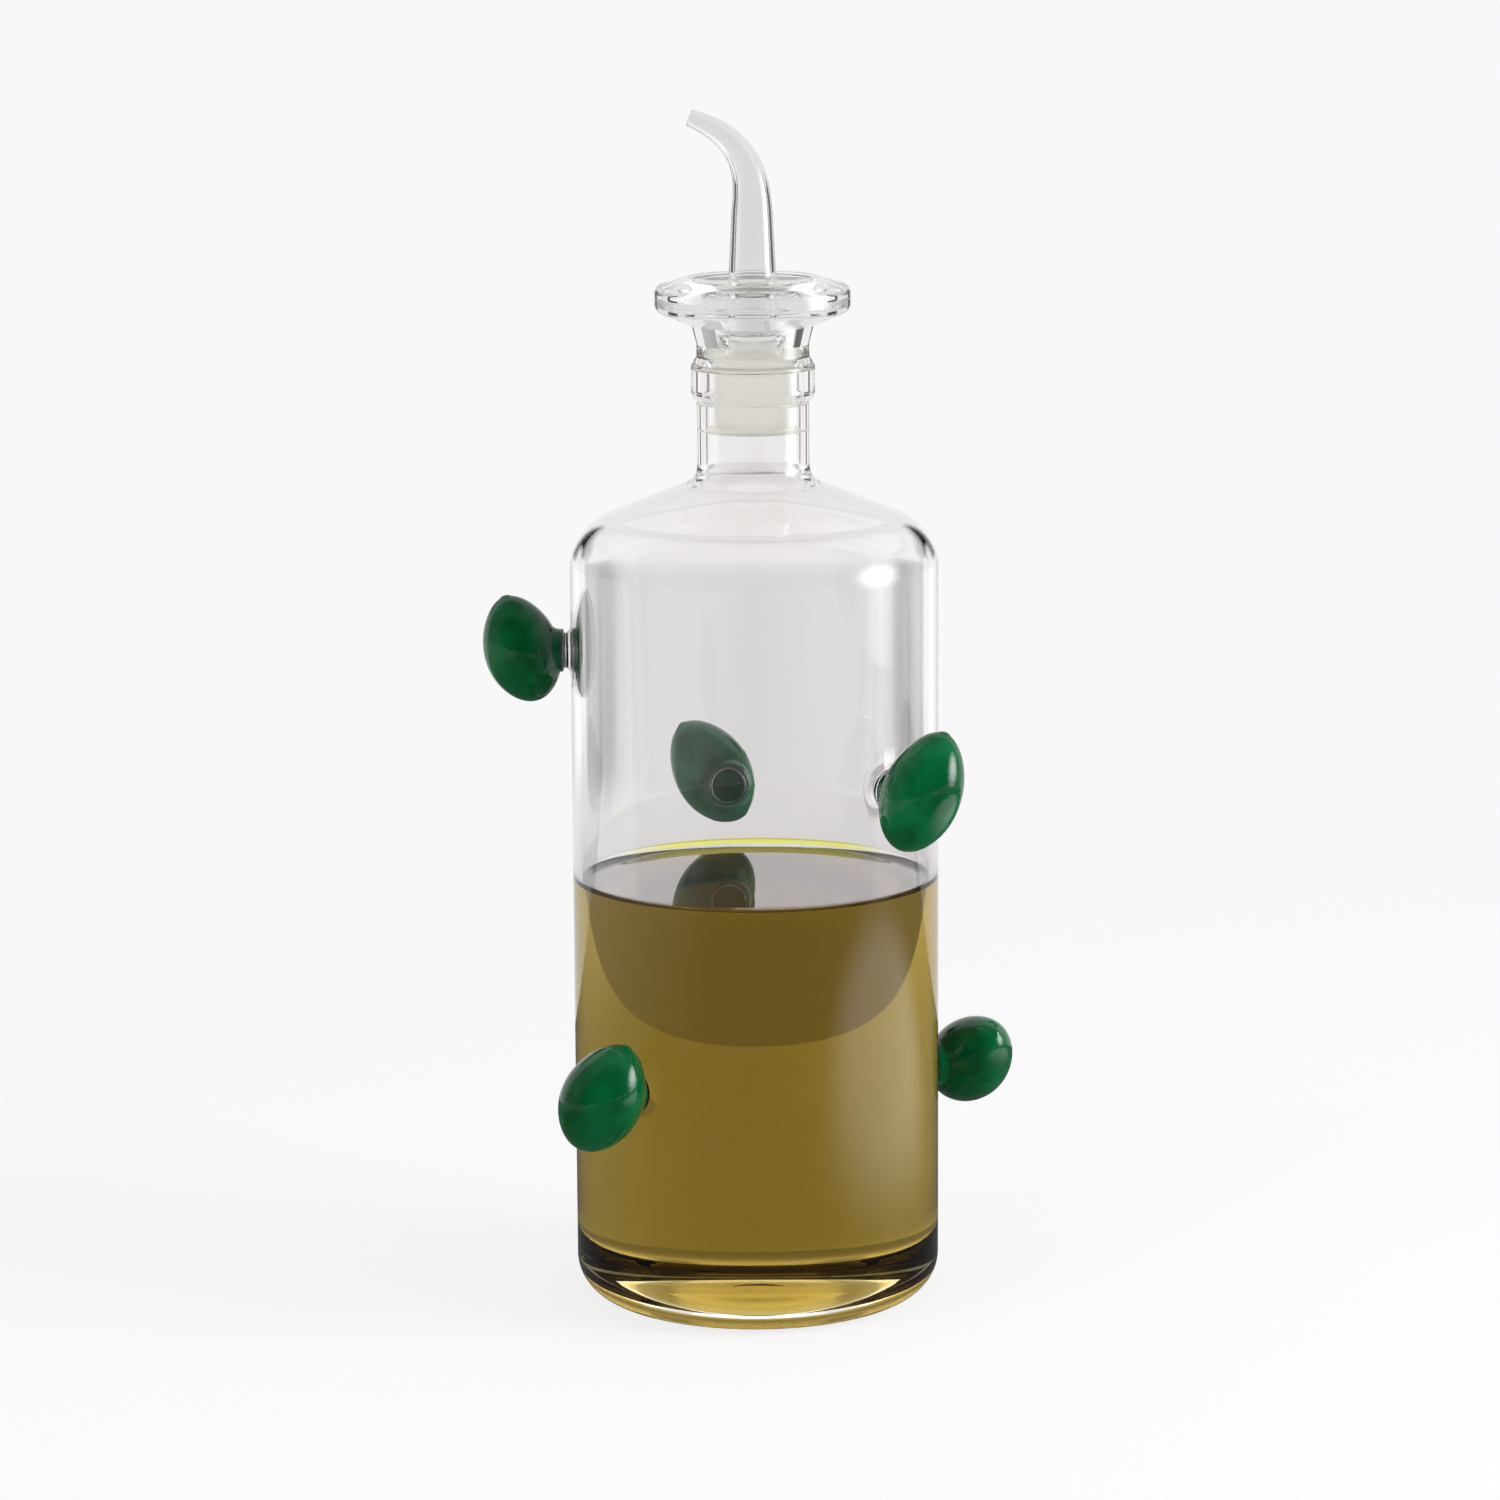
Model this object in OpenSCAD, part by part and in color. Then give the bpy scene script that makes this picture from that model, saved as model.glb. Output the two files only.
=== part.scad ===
// Kitchen oil bottle in lampworked glass, with a swan-neck pourer.
// The origin is the centre of the standing ring, on the bottle's axis; +Z runs up through the neck.
// The pourer's spout points towards -X at rest. Lengths are in millimetres.

/* [Bottle body] */
// Outer diameter of the body tube
body_d = 75; // [66:0.5:84]
// Wall thickness of the body tube
wall_t = 1.8; // [1.4:0.1:2.6]
// Height at which the straight wall ends and the shoulder starts
shoulder_z = 151.3; // [130:0.1:175]
// Outer radius of the rounded corner between wall and shoulder
corner_r = 12; // [9:0.5:15]
// Slope of the shoulder above the horizontal, in degrees
shoulder_slope = 22; // [15:1:30]
// Radius of the fillet where the shoulder turns up into the neck
root_r = 4; // [3:0.25:5]

/* [Base] */
// Thickness of the floor above the standing ring
floor_t = 5; // [3.5:0.25:6]
// Outer radius of the rounded heel
heel_r = 8.3; // [5:0.1:9]
// Radius of the fillet inside, between floor and wall
inner_heel_r = 3; // [1:0.25:4]
// Width of the flat standing ring
foot_w = 3; // [2:0.5:5]
// Rise of the hollow under the base at its middle
kick_h = 2; // [1:0.1:2.4]
// Diameter of the closing mark in the middle of the underside
mark_d = 6.5; // [5:0.5:9]
// Height of the closing mark
mark_h = 0.6; // [0.3:0.1:0.9]

/* [Neck] */
// Outer diameter of the neck
neck_d = 22.9; // [22:0.1:25]
// Bore of the neck below the gasket's seat
bore_d = 19.6; // [18.6:0.1:20]
// Bore of the neck above the gasket's seat
mouth_d = 20.4; // [20.2:0.1:20.8]
// Length of the neck from the shoulder's fillet to the flange
neck_l = 27.8; // [24:0.1:36]
// Amount by which the collar stands out of the neck
collar_h = 1.15; // [0.6:0.05:1.8]
// Length of the collar along the neck
collar_l = 9.5; // [7:0.1:11]
// Height of the gasket's seat above the shoulder's fillet
seat_h = 19.5; // [18:0.1:22]

/* [Flange] */
// Outer diameter of the flange
flange_d = 39.6; // [34:0.1:46]
// Thickness of the flange at its rounded rim
rim_t = 5; // [3:0.1:6]
// Height of the flange from the neck to the mouth
flange_h = 11; // [10:0.1:14]
// Radius of the rounded mouth
mouth_r = 2.2; // [1:0.1:3]

/* [Oil] */
// Height of the oil's surface above the standing ring
oil_z = 87.5; // [30:0.5:120]
// Clearance between the oil and the glass around it
oil_gap = 0.02; // [0.01:0.01:0.1]

/* [Olives] */
// Length of the upper left olive
olive_1_l = 22.4; // [20:0.2:26]
// Thickness of the upper left olive at its middle
olive_1_d = 15.6; // [14:0.1:18]
// Length of the olive at the back
olive_2_l = 24.4; // [20:0.2:26]
// Thickness of the olive at the back
olive_2_d = 17.1; // [14:0.1:18]
// Length of the olive at the right, above the oil
olive_3_l = 25.2; // [20:0.2:26]
// Thickness of that olive
olive_3_d = 15.9; // [14:0.1:18]
// Length of the front left olive, low on the wall
olive_4_l = 23; // [20:0.2:26]
// Thickness of that olive
olive_4_d = 16.6; // [14:0.1:18]
// Length of the lower right olive
olive_5_l = 22.6; // [20:0.2:26]
// Thickness of that olive
olive_5_d = 16.9; // [14:0.1:18]
// Gap between the body's wall and an olive's side
olive_gap = 2.4; // [1.8:0.1:5]
// Diameter of the olive's own seat, where its stem is fused on
olive_seat_d = 9.2; // [7.6:0.1:10]
// Height of that seat above the olive's side
olive_seat_h = 0.8; // [0.4:0.1:1]
// Diameter of the drop left at an olive's pointed end
drop_d = 3.8; // [3:0.1:4.6]
// Amount by which the drop stands out of the olive's end
drop_h = 0.3; // [0.1:0.05:0.6]
// Diameter of a stem's flared foot on the wall
stem_foot_d = 13; // [9:0.1:15]
// Diameter of a stem at its waist
stem_d = 6.8; // [5:0.1:7.4]
// Height of the upper left olive's stem
olive_1_z = 134.8; // [125:0.1:140]
// Height of the back olive's stem
olive_2_z = 99.6; // [92:0.1:110]
// Height of the stem of the olive at the right, above the oil
olive_3_z = 110.6; // [105:0.1:120]
// Height of the front left olive's stem
olive_4_z = 49.8; // [35:0.1:60]
// Height of the lower right olive's stem
olive_5_z = 44.3; // [35:0.1:60]

/* [Gasket] */
// Height of the gasket
gasket_h = 15.2; // [12:0.1:16]
// Outer diameter of the gasket's core
core_d = 15.9; // [14.8:0.1:16.6]
// Thickness of the collar ring that rests on the seat
ring_t = 2.4; // [1.5:0.1:3.5]
// Thickness of each sealing fin at its edge
fin_t = 1.1; // [0.8:0.1:1.8]
// Radial clearance of the gasket in the neck
gasket_gap = 0.05; // [0.02:0.01:0.1]

/* [Pourer] */
// Outer diameter of the plug
plug_d = 13; // [12:0.1:13.6]
// Wall thickness of the plug
plug_t = 1.3; // [1:0.1:1.6]
// Radius of the plug's rounded shoulder
plug_shoulder_r = 3; // [2:0.1:3.2]
// Height of the plug's straight wall above the gasket
plug_rise = 2.2; // [1:0.1:4]
// Diameter of the air hole in the plug's shoulder
vent_d = 2; // [1.2:0.1:2.4]
// Radial clearance of the plug in the gasket
plug_gap = 0.05; // [0.02:0.01:0.1]
// Outer diameter of the pour tube
tube_d = 8.3; // [7:0.1:9]
// Bore of the pour tube
tube_bore = 6.6; // [5:0.1:6.9]
// Outer diameter of the pour tube at its tip
tip_d = 3.3; // [3:0.1:7]
// Bore of the pour tube at its tip
tip_bore = 2.1; // [1.6:0.1:2.6]
// Length of the straight tube above the plug
tube_l = 23.4; // [18:0.1:45]
// Length of the bent and tapered spout, along its centre line
spout_l = 24.5; // [20:0.5:34]
// Angle that the spout turns through, in degrees
bend_angle = 68; // [40:1:80]

/* [Hidden] */
$fn = 96;

// One row per olive: its stem's bearing and height, its lean towards +X and nod towards -Y, its length
// and thickness, and how far its centre lies from the stem's line along X and along Z
OLIVE_PLACES = [[180, olive_1_z, -17, 0, olive_1_l, olive_1_d, 0.2, 0.4],
                [98.95, olive_2_z, -33.4, 0, olive_2_l, olive_2_d, -2.3, 1.4],
                [-46.3, olive_3_z, 21, 0, olive_3_l, olive_3_d, 0, 0.9],
                [-129.7, olive_4_z, 25.5, 0, olive_4_l, olive_4_d, 0, 0.4],
                [21.3, olive_5_z, 34, 38, olive_5_l, olive_5_d, 0, 0.3]];

body_r = body_d / 2;
neck_r = neck_d / 2;
bore_r = bore_d / 2;
mouth_bore_r = mouth_d / 2;
joint_z = max(heel_r, floor_t + inner_heel_r) + 1; // the base's top, where the wall stands on it

// Shoulder: a corner arc, a straight slope and a fillet into the neck
corner_x = body_r - corner_r;
slope_x = corner_x + corner_r * sin(shoulder_slope);
slope_z = shoulder_z + corner_r * cos(shoulder_slope);
function on_slope(x, depth) = slope_z + (slope_x - x) * tan(shoulder_slope) - depth / cos(shoulder_slope);
function root_z(x, depth, r) = on_slope(x + r, depth) + r / cos(shoulder_slope);
neck_z = root_z(neck_r, 0, root_r);

seat_z = neck_z + seat_h;
flange_z = neck_z + neck_l;
gasket_top = seat_z + ring_t;
gasket_z = gasket_top - gasket_h;
plug_r = plug_d / 2;
plug_shoulder_z = gasket_top + plug_rise;
tube_z = plug_shoulder_z + plug_shoulder_r + 0.8; // the plug's top, where the tube is fused on
bend_z = tube_z + tube_l;

arc_n = 10; // steps in a rounded stretch of a profile

function arc(cx, cz, r, a0, a1, n = arc_n) =
    [for (i = [0:n]) let (a = a0 + (a1 - a0) * i / n) [cx + r * cos(a), cz + r * sin(a)]];

module turned(points) { rotate_extrude() polygon(points); }

module bottle_base() {
    wall_in = body_r - wall_t;
    foot_r = body_r - heel_r - foot_w;
    kick_r = (foot_r * foot_r + kick_h * kick_h) / (2 * kick_h); // radius of the shallow dome under the base
    mark_r = mark_d / 2;
    color([0.88, 0.90, 0.89, 0.4]) turned(concat(
        [[0, kick_h - mark_h], [mark_r, kick_h - mark_h]],
        arc(0, kick_h - kick_r, kick_r, acos(mark_r / kick_r), acos(foot_r / kick_r), 6),
        arc(body_r - heel_r, heel_r, heel_r, -90, 0),
        [[body_r, joint_z], [wall_in, joint_z]],
        arc(wall_in - inner_heel_r, floor_t + inner_heel_r, inner_heel_r, 0, -90, 5),
        [[0, floor_t]]));
}

module bottle_body() {
    color([0.88, 0.90, 0.89, 0.3]) turned([
        [body_r, joint_z], [body_r, shoulder_z], [body_r - wall_t, shoulder_z], [body_r - wall_t, joint_z]]);
}

module bottle_shoulder() {
    inner_root_z = root_z(bore_r, wall_t, root_r);
    color([0.88, 0.90, 0.89, 0.3]) turned(concat(
        arc(corner_x, shoulder_z, corner_r, 0, 90 - shoulder_slope),
        arc(neck_r + root_r, neck_z, root_r, 270 - shoulder_slope, 180),
        [[bore_r, neck_z]],
        arc(bore_r + root_r, inner_root_z, root_r, 180, 270 - shoulder_slope),
        arc(corner_x, shoulder_z, corner_r - wall_t, 90 - shoulder_slope, 0)));
}

// Outer radius of the neck at a height above the shoulder's fillet, with the soft swelling of the collar
function ease(t) = let (u = min(max(t, 0), 1)) u * u * (3 - 2 * u);
function neck_at(h) =
    let (top = seat_h + ring_t + 0.3, edge = 2)
    neck_r + collar_h * min(ease((h - top + collar_l) / edge), ease((top - h) / edge));

module neck_socket() {
    collar_top = seat_h + ring_t + 0.3;
    steps = 16;
    color([0.88, 0.90, 0.89, 0.3]) turned(concat(
        [[neck_r, neck_z]],
        [for (i = [0:steps]) let (h = collar_top - collar_l * (1 - i / steps)) [neck_at(h), neck_z + h]],
        [[neck_r, flange_z],
         [mouth_bore_r, flange_z],
         [mouth_bore_r, seat_z],
         [bore_r, seat_z],
         [bore_r, neck_z]]));
}

module lip_flange() {
    rim_r = rim_t / 2;
    rim_x = flange_d / 2 - rim_r;
    rim_z = flange_z + flange_h / 2 + 0.5;
    top_z = flange_z + flange_h;
    under_a = atan((rim_z - rim_r - flange_z) / (rim_x - neck_r)); // slope of the underside
    over_a = atan((top_z - rim_z - rim_r) / (rim_x - mouth_bore_r - mouth_r)); // slope of the top
    color([0.88, 0.90, 0.89, 0.3]) turned(concat(
        [[mouth_bore_r, flange_z], [neck_r, flange_z]],
        arc(rim_x, rim_z, rim_r, under_a - 90, 90 - over_a, 12),
        arc(mouth_bore_r + mouth_r, top_z - mouth_r, mouth_r, 90 - over_a, 180, 6)));
}

module oil_fill() {
    r = body_r - wall_t - oil_gap;
    bottom = floor_t + oil_gap;
    fillet = inner_heel_r;
    color([0.55, 0.48, 0.20, 0.85]) turned(concat(
        [[0, bottom]],
        arc(r - fillet, bottom + fillet, fillet, -90, 0, 5),
        [[r, oil_z], [0, oil_z]]));
}

// Radius of an olive of thickness d at t, from -1 at its blunt end to 1 at its pointed end
function olive_at(t, d) = d / 2 * sqrt(1 - t * t) * (1 - 0.10 * t * t) / (1 + 0.06 * t);

module olive_shape(l, d) {
    steps = 22;
    points = [for (i = [1:steps - 1]) let (t = -cos(180 * i / steps)) [olive_at(t, d), t * l / 2]];
    turned(concat([[0, -l / 2]], points, [[0, l / 2]]));
    translate([0, 0, l / 2 + drop_h - drop_d / 2]) sphere(d = drop_d);
}

module placed_olive(place) {
    l = place[4];
    d = place[5];
    rotate([0, 0, place[0]]) translate([body_r + olive_gap + d / 2, 0, place[1]]) {
        rotate([0, 0, -place[0]]) translate([place[6], 0, place[7]]) rotate([place[3], place[2], 0])
            olive_shape(l, d);
        // the seat reaches in to the olive's middle
        translate([-d / 2 - olive_seat_h, 0, 0]) rotate([0, 90, 0])
            cylinder(d = olive_seat_d, h = d / 2 + olive_seat_h);
    }
}

module olive(i) {
    color([0.10, 0.42, 0.26]) placed_olive(OLIVE_PLACES[i]);
}

// Radius of a stem at h above the wall: a wide foot, a waist and a flare up to the olive's seat
function stem_at(h, l) =
    let (foot = max(1 - h / (l * 0.6), 0), head = max(h / (l * 0.6) - 2 / 3, 0))
    stem_d / 2 + (stem_foot_d - stem_d) / 2 * foot * foot + (olive_seat_d - stem_d) / 2 * head * head;

module olive_stem(i) {
    place = OLIVE_PLACES[i];
    steps = 10;
    sink = body_r - sqrt(body_r * body_r - stem_foot_d * stem_foot_d / 4); // the wall curves away by this
    l = olive_gap - olive_seat_h;
    color([0.88, 0.90, 0.89, 0.6]) rotate([0, 0, place[0]]) translate([0, 0, place[1]]) difference() {
        translate([body_r, 0, 0]) rotate([0, 90, 0]) turned(concat(
            [[0, -sink - 1], [stem_foot_d / 2, -sink - 1]],
            [for (k = [0:steps]) let (h = l * k / steps) [stem_at(h, l), h]],
            [[0, l]]));
        rotate([0, 0, 90]) cylinder(r = body_r, h = stem_foot_d * 2, center = true, $fn = 720);
    }
}

module fin(z, t) {
    // the fin thins towards its sealing edge
    r = bore_r - gasket_gap;
    turned([[core_d / 2 - 0.5, z], [r, z + t * 0.15], [r, z + t * 0.85], [core_d / 2 - 0.5, z + t]]);
}

module seal_gasket() {
    first_fin = gasket_z;
    second_fin = (gasket_z + seat_z) / 2;
    color([0.90, 0.91, 0.88]) difference() {
        union() {
            translate([0, 0, gasket_z]) cylinder(d = core_d, h = gasket_h);
            translate([0, 0, seat_z]) cylinder(r = mouth_bore_r - gasket_gap, h = ring_t);
            fin(first_fin, fin_t);
            fin(second_fin, fin_t);
        }
        translate([0, 0, gasket_z - 1]) cylinder(r = plug_r + plug_gap, h = gasket_h + 2);
    }
}

module stopper_plug() {
    shoulder_x = plug_r - plug_shoulder_r;
    meet = acos((tube_d / 2 - shoulder_x) / plug_shoulder_r);
    hollow_r = plug_r - plug_t;
    roof_r = plug_shoulder_r - plug_t;
    color([0.86, 0.88, 0.88, 0.5]) difference() {
        turned(concat(
            [[hollow_r, gasket_z], [plug_r, gasket_z]],
            arc(shoulder_x, plug_shoulder_z, plug_shoulder_r, 0, meet),
            [[tube_d / 2, tube_z], [tube_bore / 2, tube_z], [tube_bore / 2, plug_shoulder_z + roof_r]],
            arc(shoulder_x, plug_shoulder_z, roof_r, 90, 0)));
        translate([0, 0, plug_shoulder_z]) rotate([0, 0, 200]) rotate([0, 45, 0])
            translate([0, 0, 3]) cylinder(d = vent_d, h = plug_d, $fn = 32);
    }
}

// Centre line of the spout in short steps: it starts upright, turns fastest at its middle and eases out
spout_n = 24;
spout_step = spout_l / spout_n;
function spout_angle(k) = bend_angle * ease(k / spout_n);
function spout_point(k) = k <= 0 ? [0, 0, bend_z + k * spout_step] :
    let (a = spout_angle(k - 0.5)) spout_point(k - 1) + spout_step * [-sin(a), 0, cos(a)];

// Tapered rod along the spout from step k0 to step k1, with d0 and d1 at the spout's own two ends
module tapered_bend(d0, d1, k0, k1) {
    sides = 32;
    rings = k1 - k0;
    points = [for (k = [k0:k1])
        let (a = spout_angle(k), share = min(max(k / spout_n, 0), 1), r = (d0 + (d1 - d0) * share) / 2)
        for (j = [0:sides - 1]) let (b = 360 * j / sides)
            spout_point(k) + [r * cos(b) * cos(a), r * sin(b), r * cos(b) * sin(a)]];
    skin = [for (k = [0:rings - 1], j = [0:sides - 1]) let (n = (j + 1) % sides)
        [k * sides + j, (k + 1) * sides + j, (k + 1) * sides + n, k * sides + n]];
    first = [for (j = [0:sides - 1]) j];
    last = [for (j = [sides - 1:-1:0]) rings * sides + j];
    polyhedron(points, concat(skin, [first], [last]));
}

module pour_tube() {
    step = 0.04; // the bend is this much thinner at its start, and its bore this much wider
    color([0.86, 0.88, 0.88, 0.5]) difference() {
        union() {
            translate([0, 0, tube_z]) cylinder(d = tube_d, h = tube_l);
            tapered_bend(tube_d - step, tip_d, -2, spout_n);
        }
        translate([0, 0, tube_z - 1]) cylinder(d = tube_bore, h = tube_l + 1);
        tapered_bend(tube_bore + step, tip_bore, -1, spout_n + 1);
    }
}

bottle_base();
bottle_body();
bottle_shoulder();
neck_socket();
lip_flange();
oil_fill();
for (i = [0:4]) olive_stem(i);
for (i = [0:4]) olive(i);
seal_gasket();
stopper_plug();
pour_tube();
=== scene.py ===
import math
import bpy
import bmesh
from mathutils import Matrix, Vector


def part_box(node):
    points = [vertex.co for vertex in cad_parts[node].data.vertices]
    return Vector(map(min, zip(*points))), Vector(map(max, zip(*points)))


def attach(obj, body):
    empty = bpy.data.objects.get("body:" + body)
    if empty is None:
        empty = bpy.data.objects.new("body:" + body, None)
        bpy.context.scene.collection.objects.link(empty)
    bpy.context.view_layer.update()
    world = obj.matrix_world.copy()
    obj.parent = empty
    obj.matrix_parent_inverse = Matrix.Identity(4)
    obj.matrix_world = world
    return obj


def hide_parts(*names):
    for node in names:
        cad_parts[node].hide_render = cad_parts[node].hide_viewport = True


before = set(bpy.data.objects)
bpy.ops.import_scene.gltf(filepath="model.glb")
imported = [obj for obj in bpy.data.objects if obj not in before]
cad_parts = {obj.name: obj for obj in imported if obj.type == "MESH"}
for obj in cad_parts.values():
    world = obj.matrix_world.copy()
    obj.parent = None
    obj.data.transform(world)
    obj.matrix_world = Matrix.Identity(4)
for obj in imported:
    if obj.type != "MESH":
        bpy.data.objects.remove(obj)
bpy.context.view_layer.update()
mm = 0.001
weld = 1e-7  # points nearer than this, in metres, become one


def toLinear(hexColour, alpha=1.0):
    channels = [int(hexColour[i:i + 2], 16) / 255 for i in (0, 2, 4)]
    return [c / 12.92 if c <= 0.04045 else ((c + 0.055) / 1.055) ** 2.4 for c in channels] + [alpha]


def addNode(tree, kind, settings=None, **links):
    # settings: attributes, or input sockets by name or number; links: socket name to an output
    node = tree.nodes.new(kind)
    for key, value in (settings or {}).items():
        if isinstance(key, int) or key in node.inputs:
            node.inputs[key].default_value = value
        else:
            setattr(node, key, value)
    for key, output in links.items():
        slotName = int(key[1:]) if key[0] == "n" and key[1:].isdigit() else key.replace("_", " ")
        tree.links.new(output, node.inputs[slotName])
    return node


def newMaterial(name):
    material = bpy.data.materials.new(name)
    material.use_nodes = True
    material.node_tree.nodes.clear()
    return material, material.node_tree


def roundedPath(corners, guard=0.05, fewest=4, degreesPerStep=3):
    # corners: (x, z, radius) in millimetres; a corner with a radius becomes an arc, and a guard point
    # just outside each of its ends keeps the flats beside it flat
    points = []
    for i, (x, z, radius) in enumerate(corners):
        here = Vector((x, z))
        if radius == 0 or i in (0, len(corners) - 1):
            points.append(here)
            continue
        back = Vector(corners[i - 1][:2]) - here
        ahead = Vector(corners[i + 1][:2]) - here
        back.normalize()
        ahead.normalize()
        opening = back.angle(ahead)
        reach = radius / math.tan(opening / 2)
        centre = here + (back + ahead).normalized() * radius / math.sin(opening / 2)
        first = here + back * reach - centre
        turn = math.pi - opening
        if first.x * ahead.y - first.y * ahead.x < 0:
            turn = -turn
        steps = max(fewest, round(abs(math.degrees(turn)) / degreesPerStep))
        points.append(centre + first + back * guard)
        for k in range(steps + 1):
            angle = turn * k / steps
            points.append(centre + Matrix.Rotation(angle, 2) @ first)
        points.append(points[-1] + ahead * guard)
    return points


def spinProfile(points, segments, longest=4.0):
    # a profile in millimetres, spun round the bottle's axis; points on the axis close the shape
    bm = bmesh.new()
    verts = [bm.verts.new((p[0] * mm, 0, p[1] * mm)) for p in points]
    edges = [bm.edges.new(pair) for pair in zip(verts, verts[1:])]
    if points[0][0] > 1e-6 and (points[0] - points[-1]).length < 1e-6:
        bmesh.ops.remove_doubles(bm, verts=bm.verts, dist=1e-8)
    for edge in list(bm.edges):
        cuts = int(edge.calc_length() / (longest * mm))
        if cuts:
            bmesh.ops.subdivide_edges(bm, edges=[edge], cuts=cuts)
    bmesh.ops.spin(bm, geom=bm.verts[:] + bm.edges[:], cent=(0, 0, 0), axis=(0, 0, 1), dvec=(0, 0, 0),
                   angle=math.tau, steps=segments, use_merge=True)
    bmesh.ops.remove_doubles(bm, verts=bm.verts, dist=weld)
    bmesh.ops.recalc_face_normals(bm, faces=bm.faces)
    return bm


def toObject(bm, name, material=None, body=None, nodes=()):
    for face in bm.faces:
        face.smooth = True
    mesh = bpy.data.meshes.new(name)
    bm.to_mesh(mesh)
    bm.free()
    piece = bpy.data.objects.new(name, mesh)
    bpy.context.collection.objects.link(piece)
    if material:
        mesh.materials.append(material)
    if body:
        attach(piece, body)
        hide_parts(*nodes)
    return piece


def applyModifiers(piece):
    bpy.context.view_layer.update()
    evaluated = piece.evaluated_get(bpy.context.evaluated_depsgraph_get())
    mesh = bpy.data.meshes.new_from_object(evaluated)
    piece.modifiers.clear()
    old = piece.data
    piece.data = mesh
    bpy.data.meshes.remove(old)
    for polygon in piece.data.polygons:
        polygon.use_smooth = True


def makeBorosilicate():
    # borosilicate glass, flame polished: clear, hard and very smooth, with dark thin edges
    material, tree = newMaterial("borosilicateGlass")
    shader = addNode(tree, "ShaderNodeBsdfPrincipled",
                     {"Base Color": toLinear("fdfdfd"), "Roughness": 0.0, "IOR": 1.474,
                      "Transmission Weight": 1.0})
    addNode(tree, "ShaderNodeOutputMaterial", Surface=shader.outputs[0])
    return material


def makeWettedGlass():
    # the glass where oil lies against it: the two bend light almost alike, so the face can't be seen
    material, tree = newMaterial("borosilicateUnderOil")
    shader = addNode(tree, "ShaderNodeBsdfPrincipled",
                     {"Base Color": toLinear("ffffff"), "Roughness": 0.0, "IOR": 1.0,
                      "Transmission Weight": 1.0})
    addNode(tree, "ShaderNodeOutputMaterial", Surface=shader.outputs[0])
    return material


def makeOliveOil():
    # virgin olive oil: clear golden green that turns brown with depth; only its free surface bends light,
    # and the back of the edge that climbs the glass has a painted yellow glow for light gathered there
    material, tree = newMaterial("oliveOil")
    free = addNode(tree, "ShaderNodeAttribute", {"attribute_name": "freeSurfaceAndPaintedGlow"})
    index = addNode(tree, "ShaderNodeMapRange", {1: 0.0, 2: 1.0, 3: 1.0, 4: 1.47}, n0=free.outputs["Fac"])
    # painted glow: where the attribute rises above 1, the oil's tint turns yellow
    paintedGlowShare = addNode(tree, "ShaderNodeMapRange", {1: 1.0, 2: 2.0}, n0=free.outputs["Fac"])
    tint = addNode(tree, "ShaderNodeMix", {"data_type": "RGBA", 6: (1.0, 1.0, 1.0, 1.0),
                                           7: (1.0, 0.99, 0.07, 1.0)}, n0=paintedGlowShare.outputs[0])
    shader = addNode(tree, "ShaderNodeBsdfPrincipled", {"Roughness": 0.0, "Transmission Weight": 1.0},
                     IOR=index.outputs[0], Base_Color=tint.outputs[2])
    depth = addNode(tree, "ShaderNodeVolumeAbsorption",
                    {"Color": (0.672, 0.572, 0.092, 1.0), "Density": 60.0})
    addNode(tree, "ShaderNodeOutputMaterial", Surface=shader.outputs[0], Volume=depth.outputs[0])
    return material


def makeOpalGreen():
    # opal green glass, gathered solid and flame polished: deep colour under a wet gloss
    material, tree = newMaterial("opalGreenGlass")
    place = addNode(tree, "ShaderNodeTexCoord")
    noise = addNode(tree, "ShaderNodeTexNoise", {"Scale": 90.0, "Detail": 2.0, "Distortion": 0.6},
                    Vector=place.outputs["Object"])
    ramp = addNode(tree, "ShaderNodeValToRGB", Fac=noise.outputs["Fac"])
    ramp.color_ramp.elements[0].position = 0.35
    ramp.color_ramp.elements[0].color = toLinear("00421f")
    ramp.color_ramp.elements[1].position = 0.7
    ramp.color_ramp.elements[1].color = toLinear("046338")
    shader = addNode(tree, "ShaderNodeBsdfPrincipled",
                     {"Roughness": 0.4, "IOR": 1.5, "Specular IOR Level": 0.0, "Coat Weight": 1.0,
                      "Coat IOR": 1.42, "Coat Roughness": 0.03},
                     Base_Color=ramp.outputs["Color"])
    addNode(tree, "ShaderNodeOutputMaterial", Surface=shader.outputs[0])
    return material


def makeSealPlasticWithPaintedGlow():
    # natural polyethylene, moulded: milky and half clear, with a soft sheen; the glow is painted light, a
    # faint emission that stands for the light that the clear neck gathers into it
    material, tree = newMaterial("naturalPolyethyleneWithPaintedGlow")
    shader = addNode(tree, "ShaderNodeBsdfPrincipled",
                     {"Base Color": toLinear("fbfaf4"), "Roughness": 0.5, "IOR": 1.51,
                      "Transmission Weight": 0.85, "Emission Color": toLinear("fdfbf5"),
                      "Emission Strength": 0.14})
    addNode(tree, "ShaderNodeOutputMaterial", Surface=shader.outputs[0])
    return material


borosilicate = makeBorosilicate()
wettedGlass = makeWettedGlass()
oliveOil = makeOliveOil()
opalGreen = makeOpalGreen()
sealPlasticWithPaintedGlow = makeSealPlasticWithPaintedGlow()
print("materials ready")

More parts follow.
